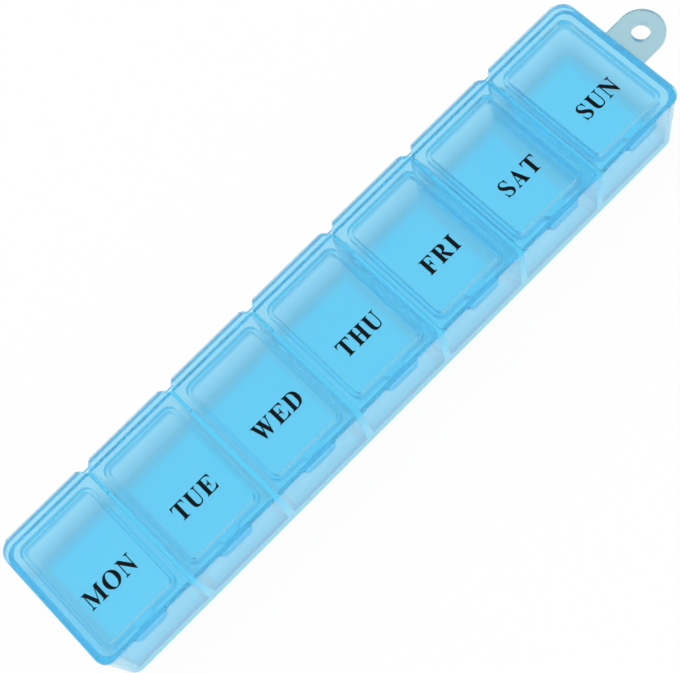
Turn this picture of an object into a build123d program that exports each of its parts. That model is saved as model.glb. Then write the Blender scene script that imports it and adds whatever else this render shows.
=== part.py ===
"""Weekly pill organiser: a one-row tray of seven compartments, seven snap lids, their living
hinges and a hang tab.

Millimetres. +X runs along the row from the Monday end to the Sunday end, +Y points from the
thumb side to the hinge side, +Z is up. The origin is the centre of the tray's underside.
"""
import os
from math import pi

from build123d import *

# ---- Driving dimensions ---------------------------------------------------------------------
days = ("monday", "tuesday", "wednesday", "thursday", "friday", "saturday", "sunday")

# Tray, measured at the rim
compartment_length = 20.1   # clear opening of one compartment along X
compartment_width = 28.0    # clear opening along Y
partition_thickness = 1.1   # between two compartments
end_wall = 1.2              # at the Monday and Sunday ends
side_wall = 1.0             # front and back walls
tray_height = 18.8          # underside to rim
floor_thickness = 1.3
wall_draft = 1.5            # degrees, outside of the walls
compartment_draft = 1.0     # degrees, inside of the walls and both sides of a partition
draft_clearance = 0.2       # from the end of that draft down to the floor's rounding
tray_corner_radius = 3.0    # upright outer corners
end_corner_radius = 2.4     # upright inner corners beside the end walls
floor_fillet = 1.6          # inside, where the walls meet the floor
foot_fillet = 0.8           # outside, round the underside

# Hinge flange along the back of the rim
flange_reach = 0.75         # past the back wall
flange_thickness = 1.0
notch_width = 1.85          # at the bottom of the notch between two hinges
notch_web = 0.27            # flange left at the bottom of a notch

# Lids
lid_seat_gap = 0.05         # lid's underside to the rim
lid_thickness = 1.15
lid_gap = 0.7               # between neighbouring lids
lid_corner_radius = 1.5     # front corners beside another lid
lid_end_corner_radius = 2.4  # the outermost corners
lid_edge_chamfer = 0.25     # round the lid's upper face
thumb_root = 8.1            # width of the thumb tab where it leaves the lid
thumb_tip = 6.4             # width at its front edge
thumb_reach = 1.0           # past the front wall
thumb_round = 0.5           # corners of the thumb tab

# Plug ring under each lid, and the snap catch at its front
ring_end_clearance = 1.1    # ring to partition
ring_front_clearance = 1.3  # ring to front wall
ring_back_clearance = 0.8   # ring to back wall
ring_wall = 0.9
ring_depth = 2.2            # below the lid
ring_corner_radius = 2.0
catch_root = 5.0            # width of the catch at the ring
catch_tip = 3.4             # width at its front
catch_clearance = 0.3       # catch to front wall
catch_lead_in = 0.4         # chamfer under the catch's front

# Living hinge: a folded film between the two flanges
film_thickness = 0.25
film_radius = 0.6           # outside of the fold
film_length = 18.4          # along X, where the film leaves the flanges

# Hang tab at the Sunday end
tab_width = 9.6
tab_thickness = 1.5
tab_hole_radius = 1.9
tab_hole_reach = 5.1        # hole centre past the end wall
tab_root_flare = 0.8        # radius where the tab runs out into the wall
tab_edge_chamfer = 0.25
tab_seam = 0.05             # end wall to the tab's root

# ---- Worked out from the dimensions above ---------------------------------------------------
last_day = len(days) - 1
pitch = compartment_length + partition_thickness
tray_length = len(days) * compartment_length + last_day * partition_thickness + 2 * end_wall
tray_width = compartment_width + 2 * side_wall
end_face = tray_length / 2
front_face = -tray_width / 2
back_face = tray_width / 2
flange_edge = back_face + flange_reach
floor_round_top = floor_thickness + floor_fillet + draft_clearance
film_arc = pi * (film_radius - film_thickness / 2)
hinge_axis_y = flange_edge + film_arc / 2
hinge_axis_z = tray_height + lid_seat_gap / 2
lid_underside = tray_height + lid_seat_gap
tab_root = end_face + tab_seam
tab_hole_x = end_face + tab_hole_reach


def day_centre(index):
    """X of the middle of one compartment."""
    return (index - last_day / 2) * pitch


def make_core(index):
    """The hollow of one compartment, as the mould's core fills it. Corners beside an end wall
    are well rounded, corners beside a partition are sharp."""
    with BuildPart() as core:
        with BuildSketch(Plane.XY.offset(tray_height)) as opening:
            with Locations((day_centre(index), 0)):
                Rectangle(compartment_length, compartment_width)
            if index == 0:
                fillet(opening.vertices().group_by(Axis.X)[0], end_corner_radius)
            if index == last_day:
                fillet(opening.vertices().group_by(Axis.X)[-1], end_corner_radius)
        extrude(amount=floor_round_top - tray_height, taper=compartment_draft)
        extrude(core.faces().sort_by(Axis.Z)[0], amount=floor_round_top - floor_thickness)
        fillet(core.edges().group_by(Axis.Z)[0], floor_fillet)
    return core.part


def make_tray():
    """Floor, four drafted walls and six partitions in one moulding, with the hinge flange."""
    with BuildPart() as tray:
        with BuildSketch(Plane.XY.offset(tray_height)):
            RectangleRounded(tray_length, tray_width, tray_corner_radius)
        extrude(amount=-tray_height, taper=wall_draft)
        fillet(tray.edges().group_by(Axis.Z)[0], foot_fillet)
        # Hinge flange, as long as the tray, with the tray's own corner radius
        with BuildSketch(Plane.XY.offset(tray_height)) as flange:
            with Locations((0, flange_edge)):
                Rectangle(tray_length, tray_width / 2, align=(Align.CENTER, Align.MAX))
            fillet(flange.vertices().group_by(Axis.Y)[-1], tray_corner_radius)
        extrude(amount=-flange_thickness)
        # Notches that part the hinges
        notch_floor = back_face + notch_web
        notch_rise = flange_edge - notch_floor
        with BuildSketch(Plane.XY.offset(tray_height)) as notches:
            for index in range(last_day):
                notch_x = day_centre(index) + pitch / 2
                with BuildLine():
                    Polyline(
                        (notch_x - notch_width / 2, notch_floor),
                        (notch_x + notch_width / 2, notch_floor),
                        (notch_x + notch_width / 2 + notch_rise, flange_edge),
                        (notch_x - notch_width / 2 - notch_rise, flange_edge),
                        close=True,
                    )
                make_face()
        extrude(amount=-flange_thickness, mode=Mode.SUBTRACT)
        for index in range(len(days)):
            add(make_core(index), mode=Mode.SUBTRACT)
    tray.part.label = "tray"
    return tray.part


def make_lid(index):
    """Flat lid with a thumb tab, a plug ring, a snap catch and its half of the hinge flange."""
    centre_x = day_centre(index)
    left_edge = -end_face if index == 0 else centre_x - (pitch - lid_gap) / 2
    right_edge = end_face if index == last_day else centre_x + (pitch - lid_gap) / 2
    notch_slope = back_face + notch_web - flange_edge
    shoulder = (notch_width - lid_gap) / 2 - notch_slope
    with BuildPart() as lid:
        with BuildSketch(Plane.XY.offset(lid_underside)) as plate:
            with Locations(((left_edge + right_edge) / 2, front_face)):
                Rectangle(right_edge - left_edge, flange_edge - front_face, align=(Align.CENTER, Align.MIN))
            corners = plate.vertices().group_by(Axis.Y)[0].sort_by(Axis.X)
            fillet(corners[0], lid_end_corner_radius if index == 0 else lid_corner_radius)
            corners = plate.vertices().group_by(Axis.Y)[0].sort_by(Axis.X)
            fillet(corners[-1], lid_end_corner_radius if index == last_day else lid_corner_radius)
            corners = plate.vertices().group_by(Axis.Y)[-1].sort_by(Axis.X)
            if index == 0:
                fillet(corners[0], tray_corner_radius)
            else:
                chamfer(corners[0], shoulder)
            corners = plate.vertices().group_by(Axis.Y)[-1].sort_by(Axis.X)
            if index == last_day:
                fillet(corners[-1], tray_corner_radius)
            else:
                chamfer(corners[-1], shoulder)
            with BuildLine():
                Polyline(
                    (centre_x - thumb_root / 2, front_face),
                    (centre_x - thumb_tip / 2, front_face - thumb_reach),
                    (centre_x + thumb_tip / 2, front_face - thumb_reach),
                    (centre_x + thumb_root / 2, front_face),
                    close=True,
                )
            make_face()
            fillet(plate.vertices().group_by(Axis.Y)[0], thumb_round)
        extrude(amount=lid_thickness)
        chamfer(lid.edges().group_by(Axis.Z)[-1], lid_edge_chamfer)
        # Plug ring
        ring_length = compartment_length - 2 * ring_end_clearance
        ring_front = -compartment_width / 2 + ring_front_clearance
        ring_back = compartment_width / 2 - ring_back_clearance
        with BuildSketch(Plane.XY.offset(lid_underside)) as ring:
            with Locations((centre_x, (ring_front + ring_back) / 2)):
                RectangleRounded(ring_length, ring_back - ring_front, ring_corner_radius)
                RectangleRounded(
                    ring_length - 2 * ring_wall,
                    ring_back - ring_front - 2 * ring_wall,
                    ring_corner_radius - ring_wall,
                    mode=Mode.SUBTRACT,
                )
            # Snap catch: narrows towards the front wall
            with BuildLine():
                Polyline(
                    (centre_x - catch_root / 2, ring_front + ring_wall / 2),
                    (centre_x - catch_root / 2, ring_front),
                    (centre_x - catch_tip / 2, -compartment_width / 2 + catch_clearance),
                    (centre_x + catch_tip / 2, -compartment_width / 2 + catch_clearance),
                    (centre_x + catch_root / 2, ring_front),
                    (centre_x + catch_root / 2, ring_front + ring_wall / 2),
                    close=True,
                )
            make_face()
        extrude(amount=-ring_depth)
        chamfer(lid.edges().group_by(Axis.Z)[0].sort_by(Axis.Y)[0], catch_lead_in)
    lid.part.label = "lid_" + days[index]
    return lid.part


def make_hinge(index):
    """Thin film folded back on itself, from the tray's flange to the lid's flange."""
    centre_x = day_centre(index)
    with BuildPart() as hinge:
        with BuildSketch(Plane.YZ.offset(centre_x)):
            with Locations((flange_edge, hinge_axis_z)):
                Circle(film_radius)
                Circle(film_radius - film_thickness, mode=Mode.SUBTRACT)
                Rectangle(
                    2 * film_radius, 3 * film_radius, align=(Align.MAX, Align.CENTER), mode=Mode.SUBTRACT
                )
        extrude(amount=film_length / 2, both=True)
        # Ends cut back at 45 degrees, in line with the notches
        with BuildSketch(Plane.XY.offset(hinge_axis_z)):
            with BuildLine():
                Polyline(
                    (centre_x - film_length / 2, flange_edge),
                    (centre_x + film_length / 2, flange_edge),
                    (centre_x + film_length / 2 - film_radius, flange_edge + film_radius),
                    (centre_x - film_length / 2 + film_radius, flange_edge + film_radius),
                    close=True,
                )
            make_face()
        extrude(amount=film_radius, both=True, mode=Mode.INTERSECT)
    hinge.part.label = "hinge_" + days[index]
    return hinge.part


def make_hang_tab():
    """Thin round-ended tab with a hole, level with the rim at the Sunday end."""
    with BuildPart() as hang_tab:
        with BuildSketch(Plane.XY.offset(tray_height)) as outline:
            with Locations((tab_root, 0)):
                Rectangle(tab_hole_x - tab_root, tab_width, align=(Align.MIN, Align.CENTER))
                Rectangle(tab_root_flare, tab_width + 2 * tab_root_flare, align=(Align.MIN, Align.CENTER))
            with Locations((tab_hole_x, 0)):
                Circle(tab_width / 2)
            flare_x = tab_root + tab_root_flare
            flare_y = tab_width / 2 + tab_root_flare
            with Locations((flare_x, flare_y), (flare_x, -flare_y)):
                Circle(tab_root_flare, mode=Mode.SUBTRACT)
        extrude(amount=-tab_thickness)
        flat_edges = hang_tab.edges().filter_by(Plane.XY)
        free_edges = flat_edges.group_by(Axis.X)[1:]
        chamfer([edge for group in free_edges for edge in group], tab_edge_chamfer)
        with Locations((tab_hole_x, 0, tray_height)):
            Hole(tab_hole_radius)
    hang_tab.part.label = "hang_tab"
    return hang_tab.part


pieces = [make_tray(), make_hang_tab()]
for day_index in range(len(days)):
    pieces.append(make_lid(day_index))
    pieces.append(make_hinge(day_index))

os.makedirs("parts", exist_ok=True)
for piece in pieces:
    export_step(piece, "parts/" + piece.label + ".step")
print("hinge axis: y", round(hinge_axis_y, 3), "z", round(hinge_axis_z, 3))
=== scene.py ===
"""Weekly pill organiser: materials, printed day names, hinge films, light and camera round the
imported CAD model. Metres, in the model's own frame: +X Monday to Sunday, +Y to the hinges, +Z up.
"""

import math

import bpy
from mathutils import Matrix, Vector


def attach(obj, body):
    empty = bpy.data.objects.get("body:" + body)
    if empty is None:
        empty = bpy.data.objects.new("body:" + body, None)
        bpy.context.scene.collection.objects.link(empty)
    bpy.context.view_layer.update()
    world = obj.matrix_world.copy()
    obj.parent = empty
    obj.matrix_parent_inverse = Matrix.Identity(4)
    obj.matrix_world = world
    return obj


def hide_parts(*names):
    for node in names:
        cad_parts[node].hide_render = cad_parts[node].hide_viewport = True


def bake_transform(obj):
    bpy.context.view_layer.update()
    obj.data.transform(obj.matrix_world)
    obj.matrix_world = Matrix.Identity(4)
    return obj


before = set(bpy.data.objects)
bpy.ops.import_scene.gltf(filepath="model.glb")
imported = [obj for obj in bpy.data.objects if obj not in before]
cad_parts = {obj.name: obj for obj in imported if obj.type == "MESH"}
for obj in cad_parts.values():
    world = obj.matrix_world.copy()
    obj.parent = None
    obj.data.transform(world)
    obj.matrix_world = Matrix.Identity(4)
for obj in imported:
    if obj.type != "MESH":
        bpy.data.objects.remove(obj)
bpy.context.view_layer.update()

# ---- Places on the CAD model ----------------------------------------------------------------
MM = 0.001
DAYS = ("monday", "tuesday", "wednesday", "thursday", "friday", "saturday", "sunday")
PITCH = 21.2 * MM  # from one lid's middle to the next
LID_TOP = 20.0 * MM
FLOOR_TOP = 1.3 * MM  # inside the compartments
HINGE_HEIGHT = 18.825 * MM
FLANGE_EDGE = 15.75 * MM  # back edge of the hinge flanges, along Y


# ---- Small helpers --------------------------------------------------------------------------
def linear(code):
    """sRGB hex colour to linear RGBA."""
    channels = [int(code[i : i + 2], 16) / 255 for i in (1, 3, 5)]
    return [c / 12.92 if c <= 0.04045 else ((c + 0.055) / 1.055) ** 2.4 for c in channels] + [1.0]


def add_node(tree, kind, inputs=None, links=None, **settings):
    """One shader node with its settings, socket values and incoming links."""
    node = tree.nodes.new(kind)
    for name, value in settings.items():
        setattr(node, name, value)
    for socket, value in (inputs or {}).items():
        node.inputs[socket].default_value = value
    for socket, source in (links or {}).items():
        tree.links.new(source, node.inputs[socket])
    return node


def new_material(name):
    """Empty node material and its tree."""
    material = bpy.data.materials.new(name)
    material.use_nodes = True
    material.node_tree.nodes.clear()
    return material, material.node_tree


def deselect_all():
    if bpy.context.object and bpy.context.object.mode != "OBJECT":
        bpy.ops.object.mode_set(mode="OBJECT")
    bpy.ops.object.select_all(action="DESELECT")


def finish_piece(piece, name, material):
    """Place goes into the mesh, the object stays at the origin."""
    piece.name = name
    piece.data.name = name
    deselect_all()
    piece.select_set(True)
    bpy.context.view_layer.objects.active = piece
    bpy.ops.object.transform_apply(location=True, rotation=True, scale=True)
    piece.data.materials.clear()
    piece.data.materials.append(material)


def paint_node(node, material):
    """The CAD node keeps its mesh and gets this material."""
    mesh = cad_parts[node].data
    mesh.materials.clear()
    mesh.materials.append(material)


# ---- Materials ------------------------------------------------------------------------------
# Solid polypropylene has 1.49. A lower index keeps edges bright where rays cross many walls.
PLASTIC_IOR = 1.2
PIGMENT_HUE = "#00EAFF"
PIGMENT_DENSITY = 0.065 / MM
CLOUD_SIZE = 9 * MM
CLOUD_TONE = "#F4FBFF"
GRAIN_SIZE = 0.3 * MM
GRAIN_DEPTH = 0.0015 * MM
SPECKLE_SIZE = 0.25 * MM
FIBRE_SIZE = 3 * MM
FIBRE_DEPTH = 0.02 * MM
FLOOR_WHITE_SHARE = 0.94  # the rest is paper, which shows the object's shadow
# The Mix node's sockets when it mixes colours
MIX_FACTOR, MIX_A, MIX_B, MIX_RESULT = 0, 6, 7, 2


def moulded_polypropylene(name, tones, transmission, roughness):
    """Tinted translucent polypropylene with a fine mould grain, and faint milky clouds where the
    melt cooled unevenly. tones lists (height, colour) from the foot up; on the tray they hold
    painted shade at the wall foot and painted light towards the rim."""
    material, tree = new_material(name)
    where = add_node(tree, "ShaderNodeTexCoord").outputs["Object"]
    height = add_node(tree, "ShaderNodeSeparateXYZ", links={"Vector": where}).outputs["Z"]
    share = add_node(tree, "ShaderNodeMapRange", {"From Max": LID_TOP}, {"Value": height})
    # Colour by height; on the tray this ramp holds painted shade and painted light
    depth = add_node(tree, "ShaderNodeValToRGB", links={"Fac": share.outputs["Result"]})
    stops = depth.color_ramp.elements
    while len(stops) < len(tones):
        stops.new(1.0)
    while len(stops) > len(tones):
        stops.remove(stops[-1])
    for stop, (tone_height, tone) in zip(stops, tones):
        stop.position = tone_height / LID_TOP
        stop.color = linear(tone)
    clouds = add_node(
        tree,
        "ShaderNodeTexNoise",
        {"Scale": 1 / CLOUD_SIZE, "Detail": 2.0, "Roughness": 0.5},
        {"Vector": where},
    )
    tint = add_node(
        tree,
        "ShaderNodeMix",
        links={MIX_FACTOR: clouds.outputs["Fac"], MIX_A: depth.outputs["Color"]},
        data_type="RGBA",
        blend_type="MULTIPLY",
    )
    tint.inputs[MIX_B].default_value = linear(CLOUD_TONE)
    grain = add_node(
        tree,
        "ShaderNodeTexNoise",
        {"Scale": 1 / GRAIN_SIZE, "Detail": 2.0, "Roughness": 0.6},
        {"Vector": where},
    )
    bump = add_node(
        tree,
        "ShaderNodeBump",
        {"Strength": 0.6, "Distance": GRAIN_DEPTH},
        {"Height": grain.outputs["Fac"]},
    )
    shader = add_node(
        tree,
        "ShaderNodeBsdfPrincipled",
        {"IOR": PLASTIC_IOR, "Roughness": roughness, "Transmission Weight": transmission},
        {"Base Color": tint.outputs[MIX_RESULT], "Normal": bump.outputs["Normal"]},
    )
    pigment = add_node(
        tree,
        "ShaderNodeVolumeAbsorption",
        {"Color": linear(PIGMENT_HUE), "Density": PIGMENT_DENSITY},
    )
    add_node(
        tree,
        "ShaderNodeOutputMaterial",
        links={"Surface": shader.outputs["BSDF"], "Volume": pigment.outputs["Volume"]},
    )
    return material


def printing_ink():
    """Black pad-printing ink, slightly matt, with paler specks where it lies thin."""
    material, tree = new_material("black_pad_print_ink")
    where = add_node(tree, "ShaderNodeTexCoord").outputs["Object"]
    speckle = add_node(
        tree, "ShaderNodeTexNoise", {"Scale": 1 / SPECKLE_SIZE, "Detail": 2.0}, {"Vector": where}
    )
    tone = add_node(tree, "ShaderNodeValToRGB", links={"Fac": speckle.outputs["Fac"]})
    ramp = ((0.45, "#010409"), (0.8, "#08121C"))
    for stop, (position, colour) in zip(tone.color_ramp.elements, ramp):
        stop.position = position
        stop.color = linear(colour)
    shader = add_node(
        tree,
        "ShaderNodeBsdfPrincipled",
        {"Roughness": 0.5, "IOR": 1.2},
        {"Base Color": tone.outputs["Color"]},
    )
    add_node(tree, "ShaderNodeOutputMaterial", links={"Surface": shader.outputs["BSDF"]})
    return material


def studio_floor():
    """White paper. It looks white to the camera, in reflections and through the plastic, and
    keeps a little of the shadow of what stands on it."""
    material, tree = new_material("white_paper_sweep")
    where = add_node(tree, "ShaderNodeTexCoord").outputs["Object"]
    fibres = add_node(
        tree, "ShaderNodeTexNoise", {"Scale": 1 / FIBRE_SIZE, "Detail": 4.0}, {"Vector": where}
    )
    bump = add_node(
        tree,
        "ShaderNodeBump",
        {"Strength": 0.1, "Distance": FIBRE_DEPTH},
        {"Height": fibres.outputs["Fac"]},
    )
    paper = add_node(
        tree,
        "ShaderNodeBsdfDiffuse",
        {"Color": linear("#F4F4F4")},
        {"Normal": bump.outputs["Normal"]},
    )
    white = add_node(tree, "ShaderNodeEmission", {"Color": linear("#FFFFFF"), "Strength": 1.0})
    rays = add_node(tree, "ShaderNodeLightPath")
    seen = rays.outputs["Is Camera Ray"]
    for ray in ("Is Glossy Ray", "Is Transmission Ray"):
        either = add_node(
            tree, "ShaderNodeMath", links={0: seen, 1: rays.outputs[ray]}, operation="MAXIMUM"
        )
        seen = either.outputs[0]
    share = add_node(
        tree, "ShaderNodeMath", {1: FLOOR_WHITE_SHARE}, {0: seen}, operation="MULTIPLY"
    )
    mix = add_node(
        tree,
        "ShaderNodeMixShader",
        links={0: share.outputs[0], 1: paper.outputs["BSDF"], 2: white.outputs["Emission"]},
    )
    add_node(tree, "ShaderNodeOutputMaterial", links={"Surface": mix.outputs["Shader"]})
    return material


# The tray's floor is seen as one deep blue layer. The walls are greyest at their foot, just
# above it, which is painted shade, and pale towards the rim, which is painted light.
WALL_FOOT = FLOOR_TOP + 0.12 * MM
WALL_LOWER_PART = 6 * MM
WALL_UPPER_PART = 12 * MM
tray_plastic = moulded_polypropylene(
    "translucent_blue_polypropylene_tray",
    tones=(
        (0, "#8EE7FF"),
        (FLOOR_TOP, "#8EE7FF"),
        # From here up: painted shade at the wall foot, fading to painted light at the rim
        (WALL_FOOT, "#AACBDE"),
        (WALL_LOWER_PART, "#C6E6F4"),
        (WALL_UPPER_PART, "#E4F6FE"),
    ),
    transmission=0.97,
    roughness=0.12,
)
lid_plastic = moulded_polypropylene(
    "translucent_blue_polypropylene_lid",
    tones=((0, "#CCF2FE"),),
    transmission=0.97,
    roughness=0.27,
)
film_plastic = moulded_polypropylene(
    "flexed_polypropylene_film", tones=((0, "#E0F6FF"),), transmission=0.85, roughness=0.24
)
tab_plastic = moulded_polypropylene(
    "thin_polypropylene_tab", tones=((0, "#B8D6DE"),), transmission=0.85, roughness=0.24
)
ink = printing_ink()

paint_node("tray", tray_plastic)
paint_node("hang_tab", tab_plastic)
for day in DAYS:
    paint_node("lid_" + day, lid_plastic)


# ---- Printed day names ----------------------------------------------------------------------
def oval(centre_x, centre_y, radius_x, radius_y):
    """Eight smooth outline points round an oval."""
    return [
        (centre_x + radius_x * math.cos(turn), centre_y + radius_y * math.sin(turn), 1)
        for turn in (step * math.pi / 4 for step in range(8))
    ]


# Own bold roman capitals. Each letter is its width and its outlines, in cap heights. A point
# with a third value is smooth, the others are corners.
STEM_TOP_LEFT = [(0.09, 0.9), (0.06, 0.94), (0, 0.95)]
STEM_FOOT_LEFT = [(0, 0), (0, 0.05), (0.06, 0.06), (0.09, 0.1)]
LETTERS = {
    "A": (0.87, [
        [(0.40, 1.02), (0.46, 1.02), (0.80, 0.1), (0.83, 0.06), (0.87, 0.05), (0.87, 0), (0.46, 0),
         (0.46, 0.05), (0.52, 0.06), (0.53, 0.1), (0.475, 0.29), (0.215, 0.29), (0.155, 0.11),
         (0.18, 0.06), (0.25, 0.05), (0.25, 0), (0, 0), (0, 0.05), (0.06, 0.06), (0.10, 0.12)],
        [(0.237, 0.35), (0.455, 0.35), (0.352, 0.70)],
    ]),
    "D": (0.91, [
        [(0, 1), (0.46, 1), (0.74, 0.9, 1), (0.91, 0.5, 1), (0.74, 0.1, 1), (0.46, 0)]
        + STEM_FOOT_LEFT + STEM_TOP_LEFT,
        [(0.34, 0.945), (0.42, 0.945), (0.58, 0.84, 1), (0.64, 0.5, 1), (0.58, 0.16, 1),
         (0.42, 0.055), (0.34, 0.055)],
    ]),
    "E": (0.88, [
        [(0, 1), (0.82, 1), (0.84, 0.74), (0.80, 0.74), (0.72, 0.88, 1), (0.56, 0.94), (0.34, 0.94),
         (0.34, 0.545), (0.42, 0.545), (0.52, 0.6, 1), (0.56, 0.72), (0.60, 0.72), (0.60, 0.32),
         (0.56, 0.32), (0.52, 0.44, 1), (0.42, 0.485), (0.34, 0.485), (0.34, 0.06), (0.56, 0.06),
         (0.74, 0.13, 1), (0.84, 0.3), (0.88, 0.3), (0.85, 0)]
        + STEM_FOOT_LEFT + STEM_TOP_LEFT,
    ]),
    "F": (0.76, [
        [(0, 1), (0.74, 1), (0.76, 0.72), (0.72, 0.72), (0.64, 0.88, 1), (0.5, 0.94), (0.34, 0.94),
         (0.34, 0.545), (0.40, 0.545), (0.5, 0.6, 1), (0.54, 0.72), (0.58, 0.72), (0.58, 0.32),
         (0.54, 0.32), (0.5, 0.44, 1), (0.40, 0.485), (0.34, 0.485), (0.34, 0.1), (0.38, 0.06),
         (0.46, 0.05), (0.46, 0)]
        + STEM_FOOT_LEFT + STEM_TOP_LEFT,
    ]),
    "H": (0.955, [
        [(0, 1), (0.43, 1), (0.43, 0.95), (0.38, 0.94), (0.34, 0.9), (0.34, 0.54), (0.615, 0.54),
         (0.615, 0.9), (0.575, 0.94), (0.525, 0.95), (0.525, 1), (0.955, 1), (0.955, 0.95),
         (0.9, 0.94), (0.865, 0.9), (0.865, 0.1), (0.9, 0.06), (0.955, 0.05), (0.955, 0),
         (0.525, 0), (0.525, 0.05), (0.575, 0.06), (0.615, 0.1), (0.615, 0.46), (0.34, 0.46),
         (0.34, 0.1), (0.38, 0.06), (0.43, 0.05), (0.43, 0)]
        + STEM_FOOT_LEFT + STEM_TOP_LEFT,
    ]),
    "I": (0.43, [
        [(0, 1), (0.43, 1), (0.43, 0.95), (0.37, 0.94), (0.34, 0.9), (0.34, 0.1), (0.37, 0.06),
         (0.43, 0.05), (0.43, 0)]
        + STEM_FOOT_LEFT + STEM_TOP_LEFT,
    ]),
    "M": (1.25, [
        [(0, 1), (0.33, 1), (0.645, 0.3), (0.95, 1), (1.25, 1), (1.25, 0.95), (1.19, 0.94),
         (1.155, 0.9), (1.155, 0.1), (1.19, 0.06), (1.25, 0.05), (1.25, 0), (0.80, 0), (0.80, 0.05),
         (0.87, 0.06), (0.905, 0.1), (0.905, 0.78), (0.575, 0), (0.53, 0), (0.18, 0.8), (0.18, 0.1),
         (0.23, 0.06), (0.30, 0.05), (0.30, 0), (0, 0), (0, 0.05), (0.07, 0.06), (0.115, 0.1),
         (0.115, 0.88), (0.07, 0.94), (0, 0.95)],
    ]),
    "N": (0.95, [
        [(0, 1), (0.28, 1), (0.77, 0.36), (0.77, 0.9), (0.72, 0.94), (0.64, 0.95), (0.64, 1),
         (0.95, 1), (0.95, 0.95), (0.88, 0.94), (0.835, 0.9), (0.835, -0.02), (0.78, -0.02),
         (0.18, 0.76), (0.18, 0.1), (0.23, 0.06), (0.31, 0.05), (0.31, 0), (0, 0), (0, 0.05),
         (0.07, 0.06), (0.115, 0.1), (0.115, 0.86), (0.07, 0.93), (0, 0.95)],
    ]),
    "O": (1.06, [oval(0.53, 0.5, 0.53, 0.52), oval(0.53, 0.5, 0.26, 0.46)]),
    "R": (0.9, [
        [(0, 1), (0.46, 1), (0.70, 0.94, 1), (0.78, 0.75, 1), (0.70, 0.56, 1), (0.54, 0.49),
         (0.84, 0.07), (0.9, 0.05), (0.9, 0), (0.61, 0), (0.36, 0.455), (0.34, 0.455), (0.34, 0.1),
         (0.38, 0.06), (0.44, 0.05), (0.44, 0)]
        + STEM_FOOT_LEFT + STEM_TOP_LEFT,
        [(0.34, 0.945), (0.42, 0.945), (0.50, 0.88, 1), (0.53, 0.74, 1), (0.50, 0.58, 1),
         (0.40, 0.51), (0.34, 0.51)],
    ]),
    "S": (0.69, [
        [(0.585, 1.0), (0.61, 0.68), (0.565, 0.68), (0.50, 0.86, 1), (0.34, 0.955, 1),
         (0.19, 0.85, 1), (0.24, 0.72, 1), (0.50, 0.52, 1), (0.685, 0.28, 1), (0.60, 0.06, 1),
         (0.34, -0.02, 1), (0.16, 0.03, 1), (0.08, -0.02), (0.03, 0.34), (0.075, 0.34),
         (0.16, 0.13, 1), (0.34, 0.045, 1), (0.49, 0.14, 1), (0.44, 0.29, 1), (0.19, 0.47, 1),
         (0.02, 0.73, 1), (0.10, 0.93, 1), (0.33, 1.02, 1), (0.50, 0.97, 1)],
    ]),
    "T": (0.88, [
        [(0, 1), (0.88, 1), (0.88, 0.72), (0.845, 0.72), (0.78, 0.88, 1), (0.62, 0.935),
         (0.565, 0.935), (0.565, 0.1), (0.60, 0.06), (0.68, 0.05), (0.68, 0), (0.20, 0),
         (0.20, 0.05), (0.28, 0.06), (0.315, 0.1), (0.315, 0.935), (0.26, 0.935), (0.10, 0.88, 1),
         (0.035, 0.72), (0, 0.72)],
    ]),
    "U": (0.89, [
        [(0, 1), (0.42, 1), (0.42, 0.95), (0.37, 0.94), (0.33, 0.9), (0.33, 0.32), (0.36, 0.14, 1),
         (0.50, 0.06, 1), (0.66, 0.13, 1), (0.715, 0.33), (0.715, 0.88), (0.67, 0.94), (0.6, 0.95),
         (0.6, 1), (0.89, 1), (0.89, 0.95), (0.82, 0.94), (0.785, 0.88), (0.785, 0.33),
         (0.70, 0.06, 1), (0.46, -0.02, 1), (0.19, 0.05, 1), (0.08, 0.3), (0.08, 0.9), (0.05, 0.94),
         (0, 0.95)],
    ]),
    "W": (1.26, [
        [(0, 1), (0.38, 1), (0.38, 0.95), (0.31, 0.93), (0.47, 0.38), (0.565, 0.72), (0.52, 0.87),
         (0.46, 0.94), (0.46, 1), (0.84, 1), (0.84, 0.95), (0.765, 0.93), (0.91, 0.37),
         (1.07, 0.88), (1.05, 0.94), (0.98, 0.95), (0.98, 1), (1.26, 1), (1.26, 0.95),
         (1.18, 0.93), (1.13, 0.86), (0.87, -0.01), (0.80, -0.01), (0.61, 0.60), (0.42, -0.01),
         (0.355, -0.01), (0.09, 0.88), (0.05, 0.94), (0, 0.95)],
    ]),
}
CAP_HEIGHT = 3.55 * MM
BASELINE_Y = -5.8 * MM
LETTER_SPACE = 0.14  # in cap heights
CURVE_STEPS = 6
WELD_DISTANCE = 0.001 * MM
INK_SUNK = 0.02 * MM  # into the lid
INK_PROUD = 0.03 * MM  # above it
# Each day's letters, and how wide they are printed
WORDS = {
    "monday": ("MON", 11.49 * MM),
    "tuesday": ("TUE", 9.52 * MM),
    "wednesday": ("WED", 10.95 * MM),
    "thursday": ("THU", 9.83 * MM),
    "friday": ("FRI", 8.1 * MM),
    "saturday": ("SAT", 9.18 * MM),
    "sunday": ("SUN", 9.32 * MM),
}


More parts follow.
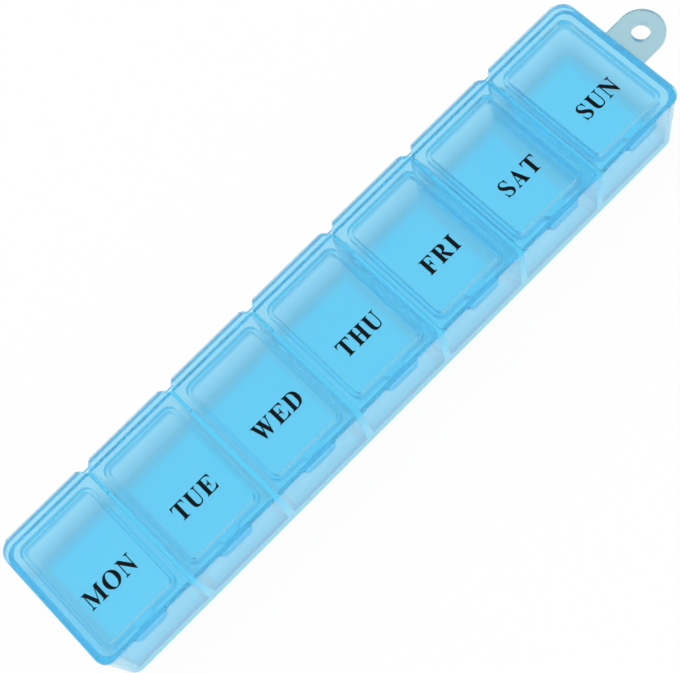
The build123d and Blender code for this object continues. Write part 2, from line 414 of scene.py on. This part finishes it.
def print_word(day, centre_x):
    """The day's three letters as thin raised ink on the lid."""
    word, width = WORDS[day]
    deselect_all()
    bpy.ops.curve.primitive_bezier_curve_add(location=(0, 0, 0))
    print_piece = bpy.context.object
    outline = print_piece.data
    outline.splines.clear()
    outline.dimensions = "2D"
    outline.fill_mode = "BOTH"
    outline.resolution_u = CURVE_STEPS
    outline.extrude = (INK_SUNK + INK_PROUD) / 2
    natural_width = sum(LETTERS[letter][0] for letter in word) + LETTER_SPACE * (len(word) - 1)
    stretch = width / natural_width
    pen = -natural_width / 2
    for letter in word:
        letter_width, contours = LETTERS[letter]
        for contour in contours:
            spline = outline.splines.new("BEZIER")
            spline.bezier_points.add(len(contour) - 1)
            spline.use_cyclic_u = True
            for knot, point in zip(spline.bezier_points, contour):
                knot.co = ((pen + point[0]) * stretch, point[1] * CAP_HEIGHT, 0)
                kind = "AUTO" if len(point) == 3 else "VECTOR"
                knot.handle_left_type = kind
                knot.handle_right_type = kind
        pen += letter_width + LETTER_SPACE
    bpy.ops.object.convert(target="MESH")
    print_piece = bpy.context.object
    print_piece.location = (centre_x, BASELINE_Y, LID_TOP + (INK_PROUD - INK_SUNK) / 2)
    finish_piece(print_piece, "print_" + day, ink)
    bpy.ops.object.mode_set(mode="EDIT")
    bpy.ops.mesh.select_all(action="SELECT")
    bpy.ops.mesh.remove_doubles(threshold=WELD_DISTANCE)
    bpy.ops.mesh.normals_make_consistent(inside=False)
    bpy.ops.object.mode_set(mode="OBJECT")
    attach(print_piece, "lid_" + day)


# ---- Living hinges --------------------------------------------------------------------------
FILM_RADIUS = 0.6 * MM  # outside of the fold
FILM_SIDES = 48  # of a full circle
FILM_THICKNESS = 0.25 * MM
FILM_LENGTH = 18.4 * MM
FILM_SEAM = 0.03 * MM  # from the flanges to the film
FILM_SMOOTH_BELOW = math.radians(30)


def hinge_film(day, centre_x):
    """Folded film from the tray's flange to the lid's flange."""
    deselect_all()
    bpy.ops.mesh.primitive_cylinder_add(
        vertices=FILM_SIDES,
        radius=FILM_RADIUS,
        depth=FILM_LENGTH + 2 * FILM_RADIUS,
        end_fill_type="NOTHING",
        location=(centre_x, FLANGE_EDGE, HINGE_HEIGHT),
        rotation=(0, math.pi / 2, 0),
    )
    film = bpy.context.object
    bpy.ops.object.transform_apply(location=True, rotation=True, scale=True)
    bpy.ops.object.mode_set(mode="EDIT")
    # The half behind the flanges is kept, then each end is cut back at 45 degrees
    cuts = [((centre_x, FLANGE_EDGE + FILM_SEAM, HINGE_HEIGHT), (0, -1, 0))]
    for side in (-1, 1):
        cuts.append(((centre_x + side * FILM_LENGTH / 2, FLANGE_EDGE, HINGE_HEIGHT), (side, 1, 0)))
    for point, normal in cuts:
        bpy.ops.mesh.select_all(action="SELECT")
        bpy.ops.mesh.bisect(plane_co=point, plane_no=normal, clear_outer=True)
    bpy.ops.object.mode_set(mode="OBJECT")
    solidify = film.modifiers.new("thickness", "SOLIDIFY")
    solidify.thickness = FILM_THICKNESS
    solidify.offset = -1
    bpy.ops.object.modifier_apply(modifier=solidify.name)
    finish_piece(film, "film_" + day, film_plastic)
    bpy.ops.object.shade_smooth_by_angle(angle=FILM_SMOOTH_BELOW)
    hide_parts("hinge_" + day)
    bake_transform(film)


MIDDLE_DAY = len(DAYS) // 2  # the row's middle lies at x = 0
for index, day in enumerate(DAYS):
    print_word(day, (index - MIDDLE_DAY) * PITCH)
    hinge_film(day, (index - MIDDLE_DAY) * PITCH)


# ---- Floor, light and camera ----------------------------------------------------------------
FLOOR_SIZE = 6.0
FLOOR_DROP = 0.02 * MM  # below the tray's foot, so that the two faces never coincide
deselect_all()
bpy.ops.mesh.primitive_plane_add(size=FLOOR_SIZE, location=(0, 0, -FLOOR_DROP))
floor = bpy.context.object
finish_piece(floor, "studio_floor", studio_floor())

world = bpy.data.worlds.new("pale_studio")
bpy.context.scene.world = world
world.use_nodes = True
world.node_tree.nodes.clear()
sky = add_node(
    world.node_tree, "ShaderNodeBackground", {"Color": linear("#FFFFFF"), "Strength": 1.0}
)
add_node(world.node_tree, "ShaderNodeOutputWorld", links={"Surface": sky.outputs["Background"]})


def soft_light(name, place, size, watts):
    """Square lamp at place, turned to the model."""
    bpy.ops.object.light_add(type="AREA", location=place)
    light = bpy.context.object
    light.name = name
    light.data.size = size
    light.data.energy = watts
    light.rotation_euler = (-Vector(place)).to_track_quat("-Z", "Y").to_euler()


soft_light("window_light", place=(-0.45, 0.35, 0.75), size=0.5, watts=1.0)
soft_light("fill_light", place=(0.5, -0.4, 0.6), size=0.6, watts=0.5)

# Fitted to the lid gaps, rims, hinge line and lower front edge in the photograph
CAMERA_PLACE = Vector((-35.87, -100.05, 301.05)) * MM
CAMERA_TARGET = Vector((-2.74, -1.66, 20.0)) * MM
CAMERA_ROLL = math.radians(27.137)
CAMERA_LENS = 86.03  # both in millimetres, as Blender has them
CAMERA_SENSOR = 36
bpy.ops.object.camera_add(location=CAMERA_PLACE)
camera = bpy.context.object
aim = (CAMERA_TARGET - CAMERA_PLACE).to_track_quat("-Z", "Y").to_matrix()
camera.rotation_euler = (aim @ Matrix.Rotation(-CAMERA_ROLL, 3, "Z")).to_euler()
camera.data.sensor_fit = "HORIZONTAL"
camera.data.sensor_width = CAMERA_SENSOR
camera.data.lens = CAMERA_LENS
camera.data.clip_start = 10 * MM
bpy.context.scene.camera = camera

bpy.context.scene.view_settings.view_transform = "Standard"
# A ray into a wall edge meets many plastic surfaces before it comes out again
cycles = bpy.context.scene.cycles
cycles.max_bounces = 40
cycles.transmission_bounces = 40
cycles.glossy_bounces = 12
cycles.diffuse_bounces = 24
